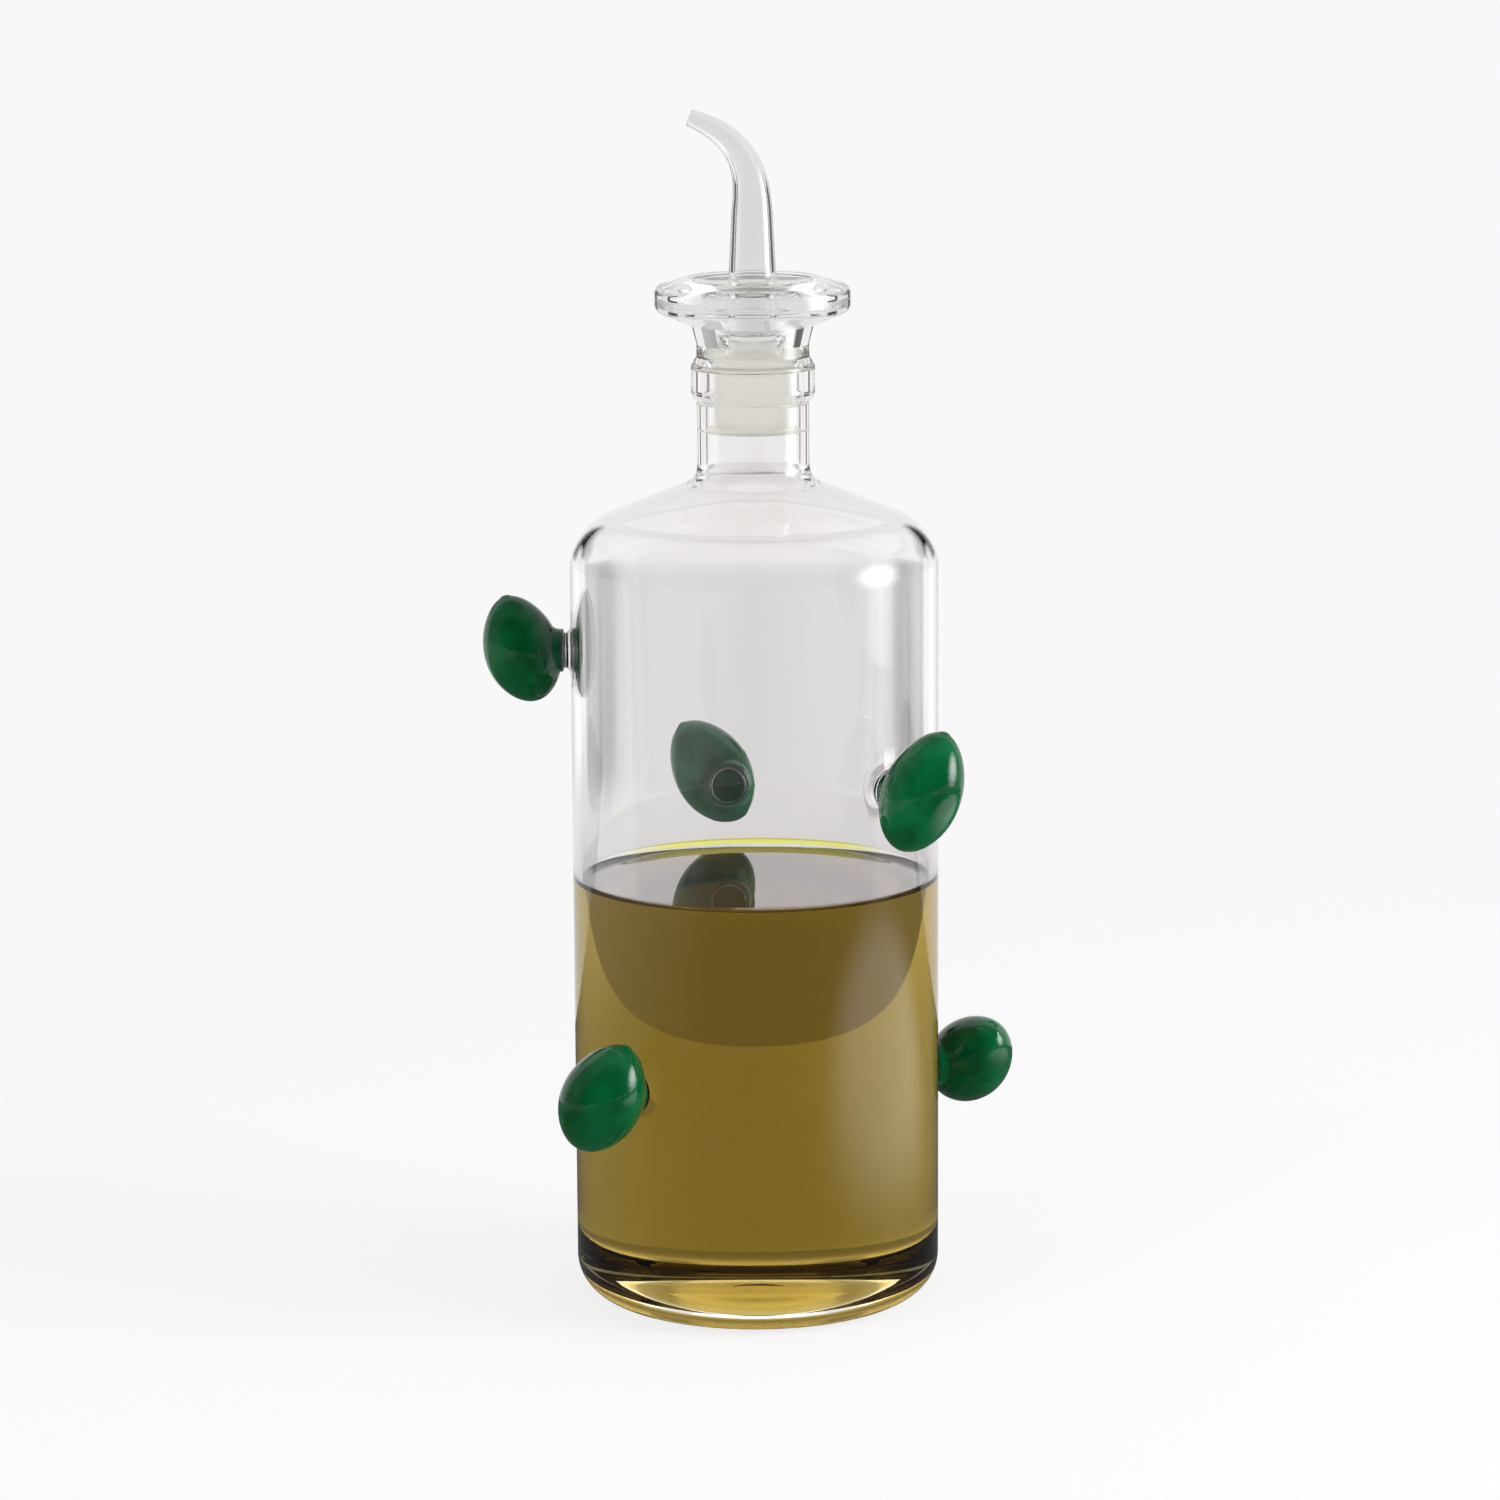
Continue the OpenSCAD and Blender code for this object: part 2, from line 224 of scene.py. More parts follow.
bottle = {
    "segments": 224,
    "wall": 1.8,
    "floor": 5.0,
    "heel": 8.3,
    "innerHeel": 3.0,
    "footWidth": 2.0,
    "kick": 3.7,
    "footEdge": 0.5,
    "domeSteps": 40,
    "markRadius": 3.25,
    "markDrop": 0.25,
    "markRound": 0.3,
    "shoulderCorner": 12.0,
    "slope": math.radians(22),
    "rootFillet": 4.0,
    "neckRadius": 11.45,
    "bore": 9.8,
    "mouthBore": 10.2,
    "collarLength": 9.5,
    "collarEdge": 2.0,
    "collarRound": 1.2,
    "collarAboveSeat": 2.7,
    "seatHeight": 19.5,
    "seatEdge": 0.3,
    "rim": 5.0,
    "rimLift": 0.5,
    "rimRoundness": 0.85,
    "rimRoot": 1.6,
    "mouthRound": 2.2,
    "mouthRise": 0.2,
}

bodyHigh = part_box("bottle_body")[1]
neckLow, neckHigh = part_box("neck_socket")
lipLow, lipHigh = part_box("lip_flange")
bodyRadius = bodyHigh[0] / mm
neckStart = neckLow[2] / mm
lipStart = lipLow[2] / mm
lipTop = lipHigh[2] / mm
lipRadius = lipHigh[0] / mm
collarRadius = neckHigh[0] / mm


def onShoulder(x, depth):
    # height of the shoulder's slope at x, or of its inner face, depth below it
    slope = bottle["slope"]
    fillet = bottle["rootFillet"]
    filletX = bottle["neckRadius"] + fillet
    atFillet = neckStart - fillet / math.cos(slope)
    return atFillet + (filletX - x) * math.tan(slope) - depth / math.cos(slope)


# the last three settings place the painted yellow glow on the far side of the oil's climbing edge
oil = {"segments": 224, "intoWall": 0.25, "below": 0.55, "capillary": 1.2, "contactAngle": 3.0,
       "steps": 28, "stepCurve": 1.6, "flatMargin": 0.01, "paintedGlowAbove": 0.6, "paintedGlowFrom": 20.0,
       "paintedGlowSpan": 10.0}

# the flat middle lies a little below the node's top, and the edge that climbs the wall above it
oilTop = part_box("oil_fill")[1][2] / mm - oil["below"]


def meniscusHeight():
    # how far the oil climbs the wall
    return oil["capillary"] * math.sqrt(2 * (1 - math.sin(math.radians(oil["contactAngle"]))))


def meniscusReach(rise):
    # distance from the wall at which the oil still stands this much above its level
    length, top = oil["capillary"], meniscusHeight()
    return (length * (math.acosh(2 * length / rise) - math.acosh(2 * length / top))
            - math.sqrt(4 * length ** 2 - rise ** 2) + math.sqrt(4 * length ** 2 - top ** 2))


def makeBottleProfile():
    s = bottle
    inner = bodyRadius - s["wall"]
    seat = neckStart + s["seatHeight"]
    collarTop = seat + s["collarAboveSeat"]
    collarLow = collarTop - s["collarLength"]
    rimMiddle = lipStart + (lipTop - lipStart) / 2 + s["rimLift"]
    rimHalf = s["rim"] / 2
    rimRound = rimHalf * s["rimRoundness"]
    foot = bodyRadius - s["heel"] - s["footWidth"]
    markEdge = s["markRadius"] + s["markRound"]
    first = markEdge / foot
    dome = [first + (1 - first) * k / s["domeSteps"] for k in range(1, s["domeSteps"])]
    corners = [
        (0, s["kick"] - s["markDrop"], 0),
        (s["markRadius"], s["kick"] - s["markDrop"], s["markRound"]),
        (markEdge, s["kick"] * (1 - first * first), s["markRound"]),
        *[(foot * x, s["kick"] * (1 - x * x), 0) for x in dome],
        (foot, 0, s["footEdge"]),
        (bodyRadius, 0, s["heel"]),
        (bodyRadius, onShoulder(bodyRadius, 0), s["shoulderCorner"]),
        (s["neckRadius"], onShoulder(s["neckRadius"], 0), s["rootFillet"]),
        (s["neckRadius"], collarLow, s["collarRound"]),
        (collarRadius, collarLow + s["collarEdge"], s["collarRound"]),
        (collarRadius, collarTop - s["collarEdge"], s["collarRound"]),
        (s["neckRadius"], collarTop, s["collarRound"]),
        (s["neckRadius"], lipStart, s["rimRoot"]),
        (lipRadius, rimMiddle - rimHalf, rimRound),
        (lipRadius, rimMiddle + rimHalf, rimRound),
        (s["mouthBore"], lipTop + s["mouthRise"], s["mouthRound"]),
        (s["mouthBore"], seat, s["seatEdge"]),
        (s["bore"], seat, s["seatEdge"]),
        (s["bore"], onShoulder(s["bore"], s["wall"]), s["rootFillet"]),
        (inner, onShoulder(inner, s["wall"]), s["shoulderCorner"] - s["wall"]),
        (inner, oilTop + meniscusHeight(), 0),
        (inner, s["floor"], s["innerHeel"]),
        (0, s["floor"], 0),
    ]
    return roundedPath(corners)


stem = {
    "footRadius": 6.5,
    "footFlare": 1.2,
    "footShare": 0.75,
    "footCurve": 2.6,
    "waistRadius": 3.4,
    "headFrom": 0.45,
    "seatRadius": 4.5,
    "seatTaper": 0.2,
    "length": 1.6,
    "intoWall": 0.5,
    "blankBelow": 0.6,
    "intoOlive": 0.5,
    "steps": 14,
    "segments": 64,
}


def makeStem(bearing, height):
    # a rod along +X with a wide foot that wraps round the wall, then turned to its bearing
    s = stem
    bm = bmesh.new()
    low, high = -s["intoWall"] - s["blankBelow"], s["length"] + s["intoOlive"]
    footEdge = s["footRadius"] + s["footFlare"]
    path = [(0, low), (footEdge, low)]
    for k in range(s["steps"] + 1):
        h = s["length"] * k / s["steps"]
        foot = max(1 - h / (s["length"] * s["footShare"]), 0)
        head = max(h / s["length"] - s["headFrom"], 0) / (1 - s["headFrom"])
        radius = s["waistRadius"] + (footEdge - s["waistRadius"]) * foot ** s["footCurve"]
        radius += (s["seatRadius"] - s["waistRadius"]) * head ** 2
        path.append((radius, h - s["intoWall"] * foot ** 2))
    path += [(s["seatRadius"] - s["seatTaper"], high), (0, high)]
    verts = [bm.verts.new((h * mm, 0, r * mm)) for r, h in path]
    for pair in zip(verts, verts[1:]):
        bm.edges.new(pair)
    bmesh.ops.spin(bm, geom=bm.verts[:] + bm.edges[:], cent=(0, 0, 0), axis=(1, 0, 0), dvec=(0, 0, 0),
                   angle=math.tau, steps=s["segments"], use_merge=True)
    bmesh.ops.remove_doubles(bm, verts=bm.verts, dist=weld)
    bmesh.ops.recalc_face_normals(bm, faces=bm.faces)
    radius = bodyRadius * mm
    for vert in bm.verts:
        fade = min(max(1 - vert.co.x / (s["length"] * mm), 0), 1)
        vert.co.x += (math.sqrt(radius ** 2 - vert.co.y ** 2) - radius) * fade
    bmesh.ops.translate(bm, verts=bm.verts, vec=(radius, 0, 0))
    turn = Matrix.Translation((0, 0, height * mm)) @ Matrix.Rotation(math.radians(bearing), 4, "Z")
    bmesh.ops.transform(bm, matrix=turn, verts=bm.verts)
    return bm


# a stem's bearing and height, then its olive's lean towards +X and nod towards -Y, length, width, and
# how far its centre lies from the stem's line along X and along Z
olivePlaces = [
    (180, 134.8, -17, 0, 22.4, 15.6, 0.2, 0.4),
    (98.95, 99.6, -33.4, 0, 24.4, 17.1, -2.3, 1.4),
    (-46.3, 110.6, 21, 0, 25.2, 15.9, 0, 0.9),
    (-129.7, 49.8, 25.5, 0, 23.0, 16.6, 0, 0.4),
    (21.3, 44.3, 34, 38, 22.6, 16.9, 0, 0.3),
]

glassNodes = ["bottle_base", "bottle_body", "bottle_shoulder", "neck_socket", "lip_flange"]
glassNodes += [f"olive_stem_{i}" for i in range(1, 6)]
glass = toObject(spinProfile(makeBottleProfile(), bottle["segments"]), "bottleGlass", borosilicate,
                 "bottle", glassNodes)
for index, place in enumerate(olivePlaces, 1):
    stemPiece = toObject(makeStem(place[0], place[1]), f"stemBlank{index}")
    union = glass.modifiers.new("stem", "BOOLEAN")
    union.operation = "UNION"
    union.solver = "EXACT"
    union.object = stemPiece
    applyModifiers(glass)
    bpy.data.objects.remove(stemPiece)
glass.data.materials.append(wettedGlass)
wetMargin = 0.02
wetRadius = (bodyRadius - bottle["wall"] + wetMargin) * mm
wetLow, wetHigh = (bottle["floor"] - wetMargin) * mm, (oilTop + meniscusHeight()) * mm
for polygon in glass.data.polygons:
    centre = polygon.center
    if centre.xy.length < wetRadius and wetLow < centre.z < wetHigh:
        polygon.material_index = 1
print("bottle glass ready:", len(glass.data.polygons), "faces")


def makeOil():
    s = oil
    inner = bodyRadius - bottle["wall"]
    outer = inner + s["intoWall"]
    low = bottle["floor"] - s["intoWall"]
    rise = meniscusHeight()
    points = roundedPath([(0, low, 0), (outer, low, bottle["innerHeel"] + s["intoWall"]),
                          (outer, oilTop + rise, 0)])
    for k in range(s["steps"] + 1):
        height = rise * (1 - k / (s["steps"] + 1)) ** s["stepCurve"]
        points.append(Vector((inner - meniscusReach(height), oilTop + height)))
    points.append(Vector((0, oilTop)))
    return spinProfile(points, s["segments"])


oilPiece = toObject(makeOil(), "oil", oliveOil, "bottle", ["oil_fill"])
free = oilPiece.data.attributes.new("freeSurfaceAndPaintedGlow", "FLOAT", "FACE")
for polygon in oilPiece.data.polygons:
    centre = polygon.center
    isInside = centre.xy.length < wetRadius - wetMargin * mm
    isFree = centre.z > (oilTop - oil["flatMargin"]) * mm and isInside
    # painted glow: climbing faces above the flat and on the +Y side, away from the camera, get a yellow tint
    isHigh = centre.z > (oilTop + oil["paintedGlowAbove"]) * mm
    glow = min(max((centre.y / mm - oil["paintedGlowFrom"]) / oil["paintedGlowSpan"], 0), 1) * isHigh
    free.data[polygon.index].value = (1.0 + glow) * isFree
print("oil ready")

oliveForm = {
    "steps": 30,
    "segments": 64,
    "pinch": 0.10,
    "egg": 0.06,
    "gap": 2.4,
    "seatRadius": 4.2,
    "seatSpread": 2.2,
    "seatHeight": 0.8,
    "seatSegments": 48,
    "dropRadius": 1.9,
    "dropRise": 0.3,
    "dropSegments": 24,
    "dropRings": 16,
    "voxel": 0.25,
    "smoothing": 4,
}


def makeOlive(index, bearing, height, lean, nod, length, width, acrossX, upZ):
    # an egg with a drop at its pointed end and a flared seat towards the wall, melted into one
    s = oliveForm
    points = []
    for k in range(s["steps"] + 1):
        t = -math.cos(math.pi * k / s["steps"])
        girth = width / 2 * math.sqrt(max(1 - t * t, 0))
        points.append(Vector((girth * (1 - s["pinch"] * t * t) / (1 + s["egg"] * t), t * length / 2)))
    bm = spinProfile(points, s["segments"], longest=length)
    drop = Matrix.Translation((0, 0, (length / 2 + s["dropRise"] - s["dropRadius"]) * mm))
    bmesh.ops.create_uvsphere(bm, u_segments=s["dropSegments"], v_segments=s["dropRings"],
                              radius=s["dropRadius"] * mm, matrix=drop)
    place = Matrix.Translation((acrossX * mm, 0, upZ * mm)) @ Matrix.Rotation(math.radians(lean), 4, "Y")
    bmesh.ops.transform(bm, matrix=place @ Matrix.Rotation(math.radians(nod), 4, "X"), verts=bm.verts)
    seatDepth = width / 2 + s["seatHeight"]  # the seat reaches in to the olive's middle
    seat = Matrix.Rotation(math.radians(bearing), 4, "Z")
    seat = seat @ Matrix.Translation((-seatDepth / 2 * mm, 0, 0)) @ Matrix.Rotation(math.pi / 2, 4, "Y")
    bmesh.ops.create_cone(bm, cap_ends=True, segments=s["seatSegments"], radius1=s["seatRadius"] * mm,
                          radius2=(s["seatRadius"] + s["seatSpread"]) * mm, depth=seatDepth * mm,
                          matrix=seat)
    distance = (bodyRadius + s["gap"] + width / 2) * mm
    away = Matrix.Rotation(math.radians(bearing), 4, "Z") @ Vector((distance, 0, 0))
    bmesh.ops.translate(bm, verts=bm.verts, vec=away + Vector((0, 0, height * mm)))
    piece = toObject(bm, f"olive{index}", opalGreen, "bottle", [f"olive_{index}"])
    melt = piece.modifiers.new("melt", "REMESH")
    melt.mode = "VOXEL"
    melt.voxel_size = s["voxel"] * mm
    soften = piece.modifiers.new("soften", "SMOOTH")
    soften.iterations = s["smoothing"]
    applyModifiers(piece)


for index, place in enumerate(olivePlaces, 1):
    makeOlive(index, *place)
print("olives ready")

gasketForm = {"core": 7.95, "hole": 6.55, "ring": 2.4, "fin": 1.1, "finTaper": 0.15, "rootRound": 0.4,
              "edgeRound": 0.3, "press": 0.03, "segments": 160}


def makeGasket():
    s = gasketForm
    low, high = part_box("seal_gasket")
    z0, z1 = low[2] / mm, high[2] / mm
    ringRadius = bottle["mouthBore"] + s["press"]  # the rings touch the glass, so they show at full width
    finRadius = bottle["bore"] + s["press"]
    seat = z1 - s["ring"]
    middle = (z0 + seat) / 2
    root, edge = s["rootRound"], s["edgeRound"]
    corners = [(s["hole"], z0, 0)]
    for z in (z0, middle):
        if z > z0:
            corners.append((s["core"], z, root))
        corners += [(finRadius, z + s["fin"] * s["finTaper"], edge),
                    (finRadius, z + s["fin"] * (1 - s["finTaper"]), edge),
                    (s["core"], z + s["fin"], root)]
    corners += [(s["core"], seat, root), (ringRadius, seat, edge), (ringRadius, z1, root),
                (s["hole"], z1, edge), (s["hole"], z0, 0)]
    return spinProfile(roundedPath(corners), s["segments"])


toObject(makeGasket(), "gasket", sealPlasticWithPaintedGlow, "gasket", ["seal_gasket"])
print("gasket ready")

pourer = {
    "plug": 6.5,
    "plugWall": 1.3,
    "shoulder": 3.0,
    "shoulderRise": 2.2,
    "footRound": 0.4,
    "tubeRoot": 0.6,
    "boreRoot": 0.5,
    "tube": 4.15,
    "tubeBore": 3.3,
    "tubeLength": 23.4,
    "tip": 1.65,
    "tipBore": 1.05,
    "tipRound": 0.22,
    "tipSteps": 4,
    "spoutLength": 24.5,
    "spoutAngle": 68.0,
    "spoutSteps": 36,
    "segments": 72,
}


def growSpout(bm, ring, start, end, base):
    # carries an open ring along the spout: upright at first, turning fastest half way, thinning all the way
    s = pourer
    centre = Vector((0, 0, base)) * mm
    angle, radius = 0.0, start
    for k in range(1, s["spoutSteps"] + 1):
        out = bmesh.ops.extrude_edge_only(bm, edges=ring)["geom"]
        verts = [g for g in out if isinstance(g, bmesh.types.BMVert)]
        ring = [g for g in out if isinstance(g, bmesh.types.BMEdge)]
        share = k / s["spoutSteps"]
        nextAngle = math.radians(s["spoutAngle"]) * share * share * (3 - 2 * share)
        halfway = (angle + nextAngle) / 2
        turn = Matrix.Rotation(angle - nextAngle, 3, "Y")
        bmesh.ops.rotate(bm, verts=verts, cent=centre, matrix=turn)
        move = Vector((-math.sin(halfway), 0, math.cos(halfway))) * s["spoutLength"] / s["spoutSteps"] * mm
        bmesh.ops.translate(bm, verts=verts, vec=move)
        centre, angle = centre + move, nextAngle
        wanted = start + (end - start) * share
        bmesh.ops.scale(bm, verts=verts, vec=(wanted / radius,) * 3, space=Matrix.Translation(-centre))
        radius = wanted
    return ring


def makePourer():
    s = pourer
    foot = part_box("stopper_plug")[0][2] / mm
    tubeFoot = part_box("pour_tube")[0][2] / mm
    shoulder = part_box("seal_gasket")[1][2] / mm + s["shoulderRise"] + s["shoulder"]
    inside = s["plug"] - s["plugWall"]
    ceiling = shoulder - s["plugWall"]
    top = tubeFoot + s["tubeLength"]
    outer = roundedPath([(inside, foot, 0), (s["plug"], foot, s["footRound"]),
                         (s["plug"], shoulder, s["shoulder"]), (s["tube"], shoulder, s["tubeRoot"]),
                         (s["tube"], top, 0)])
    inner = roundedPath([(inside, foot, 0), (inside, ceiling, s["shoulder"] - s["plugWall"]),
                         (s["tubeBore"], ceiling, s["boreRoot"]), (s["tubeBore"], top, 0)])
    bm = spinProfile(inner[::-1] + outer[1:], s["segments"])
    rims = [[], []]
    for edge in bm.edges:
        if edge.is_boundary:
            isOuter = edge.verts[0].co.xy.length > (s["tube"] + s["tubeBore"]) / 2 * mm
            rims[isOuter].append(edge)
    ends = growSpout(bm, rims[0], s["tubeBore"], s["tipBore"], top)
    ends += growSpout(bm, rims[1], s["tube"], s["tip"], top)
    bmesh.ops.bridge_loops(bm, edges=ends)
    bmesh.ops.bevel(bm, geom=ends, offset=s["tipRound"] * mm, offset_type="OFFSET",
                    segments=s["tipSteps"], profile=0.5, affect="EDGES", material=-1)
    bmesh.ops.recalc_face_normals(bm, faces=bm.faces)
    return bm


toObject(makePourer(), "pourerGlass", borosilicate, "pourer", ["stopper_plug", "pour_tube"])
print("pourer ready")

# near and far edge along X, low and high edge; each card stands at both sides
flags = [(0.10, 0.14, 0.14, 0.185), (0.10, 0.27, 0.185, 0.245)]

stage = {
    "white": "f8f8f8",
    "floorReach": 12.0,
    "floorLit": 0.2,
    "patchCentre": (0.27, -0.05, 0.0),
    "wallDistance": 0.2365,
    "wallWidth": 1.2,
    "wallHeight": 0.8,
    "wallLow": 0.60,
    "wallMiddle": 0.80,
    "wallHigh": 0.93,
    "wallMirrored": 0.85,
    "wallFromBelow": 2.2,
    "flagGap": 0.005,
    "room": 0.75,
    "roomDiffuse": 0.45,
    "beside": 0.3,
    "behindCamera": 0.05,
    "throughFront": 0.3,
}


def makeRamp(tree, value, points):
    # a smooth curve through (position, brightness) pairs, read at value
    low, high = points[0][0], points[-1][0]
    share = addNode(tree, "ShaderNodeMapRange", {1: low, 2: high}, n0=value)
    ramp = addNode(tree, "ShaderNodeValToRGB", Fac=share.outputs[0])
    ramp.color_ramp.interpolation = "EASE"
    for place, _ in points[1:-1]:
        ramp.color_ramp.elements.new((place - low) / (high - low))
    for element, (place, brightness) in zip(ramp.color_ramp.elements, points):
        element.color = (brightness, brightness, brightness, 1.0)
    return ramp.outputs["Color"]


def chooseByRay(tree, camera, through, mirrored, other):
    # one shader for each kind of ray; a refracted ray counts as glossy too, so it's asked for first
    path = addNode(tree, "ShaderNodeLightPath")
    a = addNode(tree, "ShaderNodeMixShader", n0=path.outputs["Is Glossy Ray"], n1=other, n2=mirrored)
    b = addNode(tree, "ShaderNodeMixShader", n0=path.outputs["Is Transmission Ray"], n1=a.outputs[0],
                n2=through)
    c = addNode(tree, "ShaderNodeMixShader", n0=path.outputs["Is Camera Ray"], n1=b.outputs[0], n2=camera)
    return c.outputs[0]


def makeSheet(name, corners, material, cameraSees=True, diffuseSees=True, throughSees=True):
    bm = bmesh.new()
    bm.faces.new([bm.verts.new(c) for c in corners])
    mesh = bpy.data.meshes.new(name)
    bm.to_mesh(mesh)
    bm.free()
    sheet = bpy.data.objects.new(name, mesh)
    bpy.context.collection.objects.link(sheet)
    mesh.materials.append(material)
    sheet.visible_camera = cameraSees
    sheet.visible_diffuse = diffuseSees
    sheet.visible_transmission = throughSees
    sheet.visible_shadow = False


def makeFloor():
    # white paper: plain white with the bottle's soft shadow round its foot; the glass shows it with painted
    # light and shade, brighter at the sides, dim in front and with a painted shadow under the bottle, and it
    # mirrors a painted sunlit patch at the right
    material, tree = newMaterial("paperFloor")
    place = addNode(tree, "ShaderNodeTexCoord").outputs["Object"]
    axes = addNode(tree, "ShaderNodeSeparateXYZ", Vector=place)
    white = addNode(tree, "ShaderNodeEmission", {"Color": toLinear("ffffff"), "Strength": 1.0})
    paper = addNode(tree, "ShaderNodeBsdfDiffuse", {"Color": toLinear("f6f6f6")})
    lit = addNode(tree, "ShaderNodeMixShader", {0: stage["floorLit"]}, n1=white.outputs[0],
                  n2=paper.outputs[0])
    plain = addNode(tree, "ShaderNodeEmission", {"Color": toLinear(stage["white"]), "Strength": 1.0})
    out = addNode(tree, "ShaderNodeVectorMath", {"operation": "LENGTH"}, n0=place)
    away = makeRamp(tree, out.outputs["Value"], [(0.0, 0.0), (0.2, 0.0), (0.6, 1.0), (1.0, 1.0)])
    shown = addNode(tree, "ShaderNodeMixShader", n0=away, n1=lit.outputs[0], n2=plain.outputs[0])
    across = makeRamp(tree, axes.outputs["X"],
                      [(-0.3, 1.6), (-0.12, 1.15), (0.02, 0.86), (0.1, 0.86), (0.3, 1.3)])
    along = makeRamp(tree, axes.outputs["Y"], [(-0.5, 0.3), (-0.12, 0.3), (-0.05, 1.0), (0.5, 1.0)])
    # painted shadow: the paper under the bottle is darker where the glass shows it
    under = makeRamp(tree, out.outputs["Value"], [(0.0, 0.55), (0.028, 0.55), (0.04, 1.0), (0.5, 1.0)])
    dimmed = addNode(tree, "ShaderNodeMix", {"data_type": "RGBA", "blend_type": "MULTIPLY", 0: 1.0},
                     n6=along, n7=under)
    seen = addNode(tree, "ShaderNodeMix", {"data_type": "RGBA", "blend_type": "MULTIPLY", 0: 1.0},
                   n6=across, n7=dimmed.outputs[2])
    through = addNode(tree, "ShaderNodeEmission", Color=seen.outputs[2])
    side = makeRamp(tree, axes.outputs["X"], [(-0.5, 0.5), (-0.15, 0.12), (0.4, 0.12), (0.7, 0.5)])
    apart = addNode(tree, "ShaderNodeVectorMath", {"operation": "DISTANCE", 1: stage["patchCentre"]},
                    n0=place)
    patch = makeRamp(tree, apart.outputs["Value"], [(0.0, 1.8), (0.09, 1.7), (0.2, 0.0), (1.0, 0.0)])
    both = addNode(tree, "ShaderNodeMix", {"data_type": "RGBA", "blend_type": "ADD", 0: 1.0},
                   n6=side, n7=patch)
    mirrored = addNode(tree, "ShaderNodeEmission", Color=both.outputs[2])
    addNode(tree, "ShaderNodeOutputMaterial", Surface=chooseByRay(
        tree, shown.outputs[0], through.outputs[0], mirrored.outputs[0], paper.outputs[0]))
    r = stage["floorReach"]
    makeSheet("floor", [(-r, -r, 0), (r, -r, 0), (r, r, 0), (-r, r, 0)], material)


def makeWall():
    # grey paper that only the glass and the oil show, with painted light and shade: painted shade where it
    # meets the floor, brightest in a band behind the shoulder, dark beside the oil and bright further out;
    # its lower part is brighter still for rays that come up to it from the base
    material, tree = newMaterial("paperWall")
    place = addNode(tree, "ShaderNodeTexCoord").outputs["Object"]
    axes = addNode(tree, "ShaderNodeSeparateXYZ", Vector=place)
    low, middle, high = stage["wallLow"], stage["wallMiddle"], stage["wallHigh"]
    tone = makeRamp(tree, axes.outputs["Z"], [(0.0, low), (0.025, low), (0.055, middle), (0.116, middle),
                                              (0.13, high), (0.16, high), (0.175, middle), (1.0, middle)])
    aside = addNode(tree, "ShaderNodeMath", {"operation": "ABSOLUTE"}, n0=axes.outputs["X"])
    beside = makeRamp(tree, aside.outputs[0], [(0.0, 0.98), (0.03, 1.02), (0.042, 0.9), (0.056, 0.5),
                                               (0.085, 0.6), (0.1, 1.25), (0.2, 1.5), (1.0, 1.5)])
    isBody = makeRamp(tree, axes.outputs["Z"],
                      [(0.0, 0), (0.05, 0), (0.07, 1), (0.12, 1), (0.13, 0), (1.0, 0)])
    sided = addNode(tree, "ShaderNodeMix", {"data_type": "RGBA", "blend_type": "MULTIPLY"}, n0=isBody,
                    n6=tone, n7=beside)
    tint = addNode(tree, "ShaderNodeMix", {"data_type": "RGBA", "blend_type": "MULTIPLY", 0: 1.0,
                                           7: (1.0, 0.965, 0.965, 1.0)}, n6=sided.outputs[2])
    toEye = addNode(tree, "ShaderNodeNewGeometry").outputs["Incoming"]
    rise = addNode(tree, "ShaderNodeSeparateXYZ", Vector=toEye)
    most = addNode(tree, "ShaderNodeMapRange", {1: 0.15, 2: 0.18, 3: stage["wallFromBelow"], 4: 1.0},
                   n0=axes.outputs["Z"])
    gain = addNode(tree, "ShaderNodeMapRange", {1: -0.34, 2: -0.08, 4: 1.0}, n0=rise.outputs["Z"],
                   n3=most.outputs[0])
    shown = addNode(tree, "ShaderNodeEmission", Color=tint.outputs[2], Strength=gain.outputs[0])
    bright = addNode(tree, "ShaderNodeEmission",
                     {"Color": toLinear("ffffff"), "Strength": stage["wallMirrored"]})
    addNode(tree, "ShaderNodeOutputMaterial", Surface=chooseByRay(
        tree, shown.outputs[0], shown.outputs[0], bright.outputs[0], shown.outputs[0]))
    x, y, z = stage["wallWidth"] / 2, stage["wallDistance"], stage["wallHeight"]
    makeSheet("wall", [(-x, y, 0), (x, y, 0), (x, y, z), (-x, y, z)], material,
              cameraSees=False, diffuseSees=False)


def makeFlags():
    # black cards just in front of the wall draw the thin dark lines in the neck and the tube
    material, tree = newMaterial("blackCard")
    black = addNode(tree, "ShaderNodeEmission", {"Color": toLinear("141414"), "Strength": 1.0})
    addNode(tree, "ShaderNodeOutputMaterial", Surface=black.outputs[0])
    y = stage["wallDistance"] - stage["flagGap"]
    for near, far, low, high in flags:
        for a, b in ((-near, -far), (near, far)):
            makeSheet("flag", [(a, y, low), (b, y, low), (b, y, high), (a, y, high)], material,
                      cameraSees=False, diffuseSees=False)


window = {"centre": (0.85, -0.12, 0.28), "reach": 0.4, "strength": 12.0}


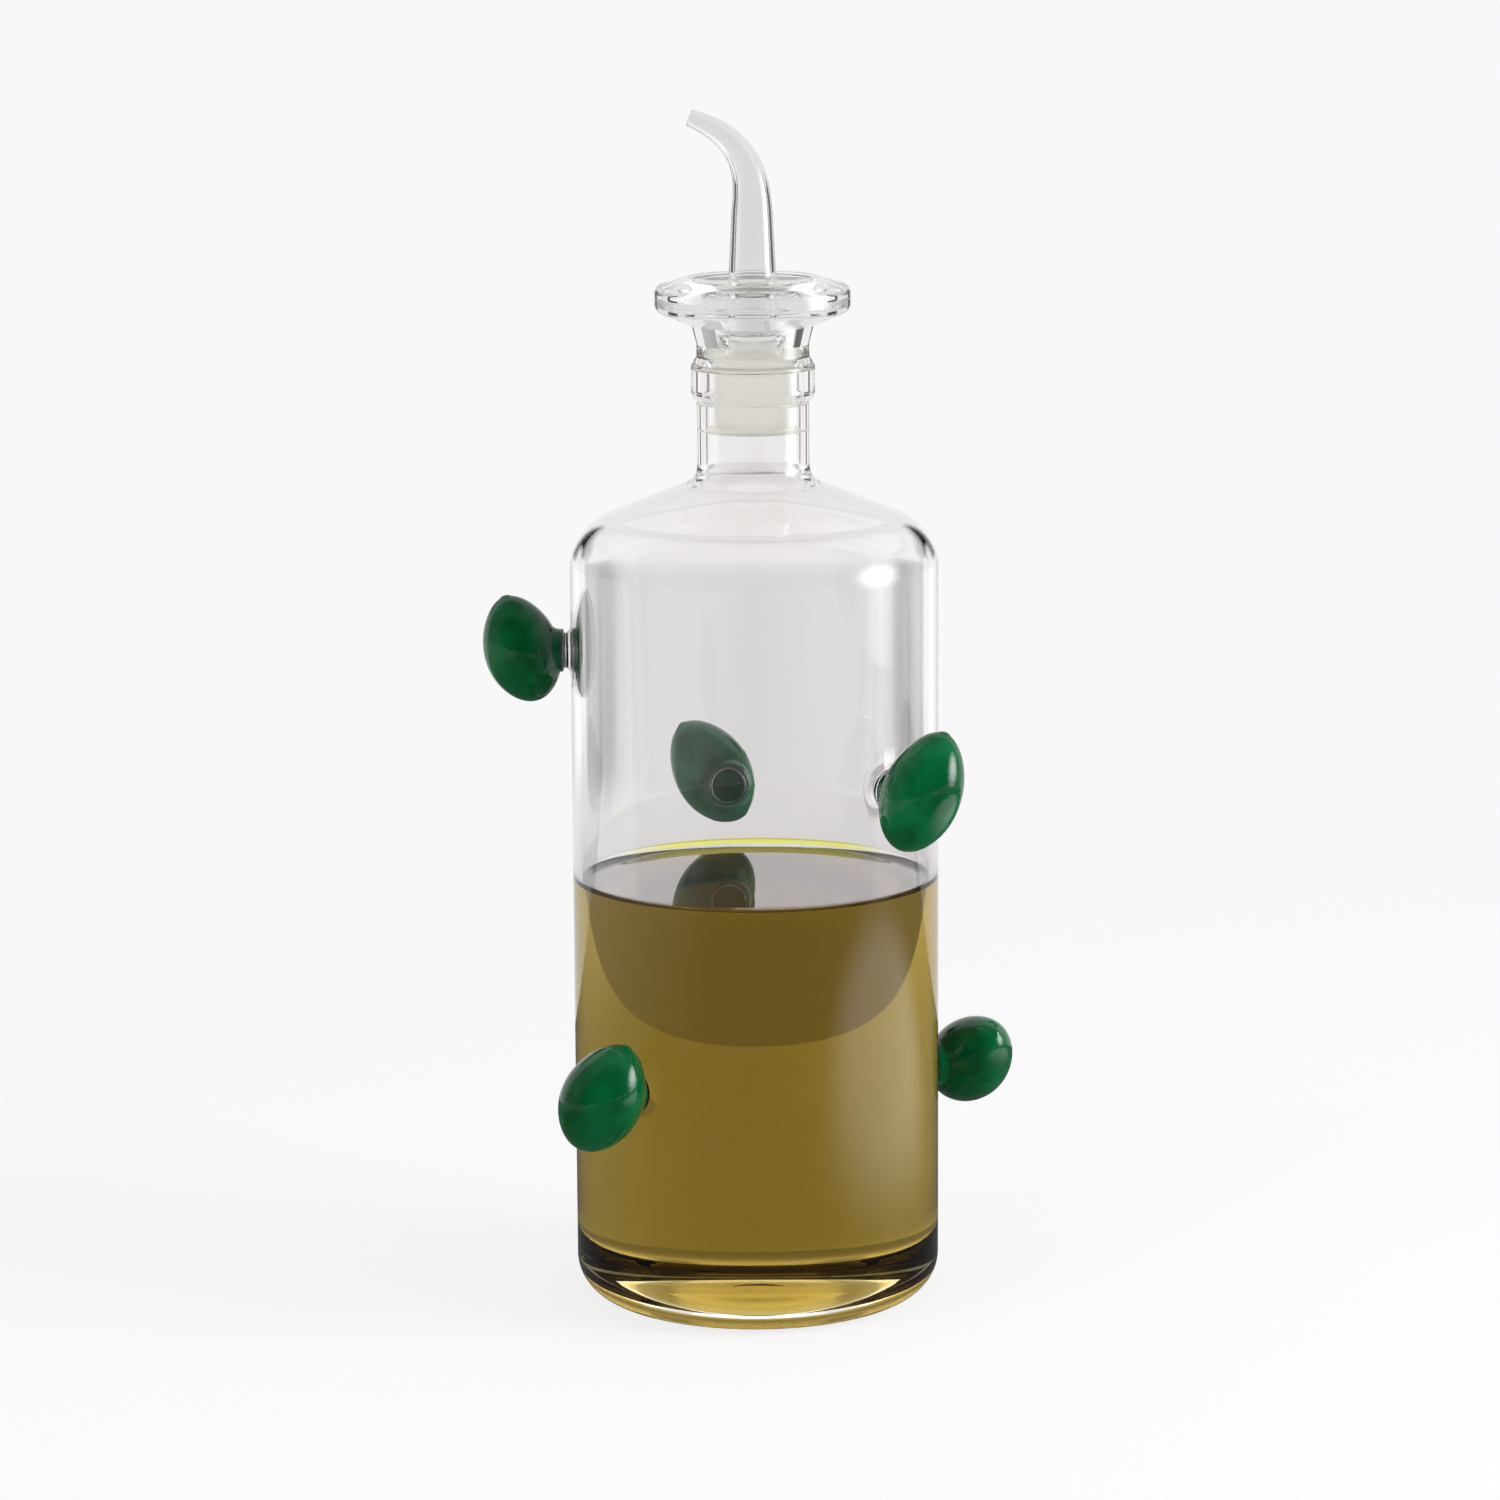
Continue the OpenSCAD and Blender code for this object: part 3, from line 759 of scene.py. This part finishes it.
def makeWindow():
    # a big soft window at the right that only shows in highlights; the lamps do the lighting
    material, tree = newMaterial("windowLight")
    place = addNode(tree, "ShaderNodeTexCoord").outputs["Object"]
    apart = addNode(tree, "ShaderNodeVectorMath", {"operation": "DISTANCE", 1: window["centre"]}, n0=place)
    fall = addNode(tree, "ShaderNodeMapRange", {"interpolation_type": "SMOOTHERSTEP", 1: 0.0,
                                                2: window["reach"], 3: window["strength"], 4: 0.0},
                   n0=apart.outputs["Value"])
    glow = addNode(tree, "ShaderNodeEmission", {"Color": toLinear("ffffff")}, Strength=fall.outputs[0])
    clear = addNode(tree, "ShaderNodeBsdfTransparent")
    both = addNode(tree, "ShaderNodeAddShader", n0=glow.outputs[0], n1=clear.outputs[0])
    addNode(tree, "ShaderNodeOutputMaterial", Surface=both.outputs[0])
    x, y, z = window["centre"]
    r = window["reach"]
    makeSheet("window", [(x, y - r, z - r), (x, y + r, z - r), (x, y + r, z + r), (x, y - r, z + r)],
              material, cameraSees=False, diffuseSees=False, throughSees=False)


def makeWorld():
    # plain white behind everything; the glass mirrors a room that is dim in front, and shows it dimmer there
    world = bpy.data.worlds.new("studio")
    bpy.context.scene.world = world
    world.use_nodes = True
    tree = world.node_tree
    tree.nodes.clear()
    place = addNode(tree, "ShaderNodeTexCoord").outputs["Generated"]
    axes = addNode(tree, "ShaderNodeSeparateXYZ", Vector=place)
    room, dim, side = stage["room"], stage["behindCamera"], stage["beside"]
    around = makeRamp(tree, axes.outputs["Y"], [(-1.0, dim), (-0.7, dim), (-0.2, side), (0.3, side),
                                                (0.6, room), (1.0, room)])
    far = stage["throughFront"]
    beyond = makeRamp(tree, axes.outputs["Y"], [(-1.0, far), (-0.5, far), (0.1, room), (1.0, room)])
    white = addNode(tree, "ShaderNodeBackground", {"Color": toLinear(stage["white"]), "Strength": 1.0})
    through = addNode(tree, "ShaderNodeBackground", {"Strength": 1.0}, Color=beyond)
    mirrored = addNode(tree, "ShaderNodeBackground", {"Strength": 1.0}, Color=around)
    other = addNode(tree, "ShaderNodeBackground",
                    {"Color": toLinear("ffffff"), "Strength": stage["roomDiffuse"]})
    addNode(tree, "ShaderNodeOutputWorld", Surface=chooseByRay(
        tree, white.outputs[0], through.outputs[0], mirrored.outputs[0], other.outputs[0]))


def makeLamp(name, place, target, width, height, power):
    lamp = bpy.data.lights.new(name, "AREA")
    lamp.shape = "RECTANGLE"
    lamp.size = width
    lamp.size_y = height
    lamp.energy = power
    holder = bpy.data.objects.new(name, lamp)
    holder.location = place
    holder.rotation_euler = (Vector(target) - Vector(place)).to_track_quat("-Z", "Y").to_euler()
    holder.visible_glossy = False
    holder.visible_transmission = False
    bpy.context.collection.objects.link(holder)


makeFloor()
makeWall()
makeFlags()
makeWindow()
makeWorld()
makeLamp("keyRight", (0.8, -0.25, 0.45), (0, 0, 0.1), width=0.5, height=0.5, power=7.0)
makeLamp("fillLeft", (-0.8, -0.7, 0.5), (0, 0, 0.12), width=0.6, height=0.6, power=4.0)

cameraSet = {
    "place": (0.0, -1.0, 0.2947),
    "pitch": 10.25,
    "roll": -0.33,
    "focalPixels": 4965,
    "framePixels": 1500,
    "shiftPixels": 5.1,
    "sensorWidth": 36.0,
    "clipStart": 0.05,
}


def makeCamera():
    s = cameraSet
    data = bpy.data.cameras.new("camera")
    data.sensor_width = s["sensorWidth"]
    data.lens = s["focalPixels"] / s["framePixels"] * data.sensor_width
    data.shift_x = -s["shiftPixels"] / s["framePixels"]
    data.clip_start = s["clipStart"]
    camera = bpy.data.objects.new("camera", data)
    tilt = Matrix.Rotation(math.radians(90 - s["pitch"]), 4, "X")
    roll = Matrix.Rotation(math.radians(s["roll"]), 4, "Z")
    camera.matrix_world = Matrix.Translation(s["place"]) @ tilt @ roll
    bpy.context.collection.objects.link(camera)
    bpy.context.scene.camera = camera


makeCamera()
scene = bpy.context.scene
scene.view_settings.view_transform = "Standard"
lightBounces = 24  # light crosses many faces of glass
scene.cycles.max_bounces = lightBounces
scene.cycles.transmission_bounces = lightBounces
scene.cycles.glossy_bounces = lightBounces
print("stage ready")
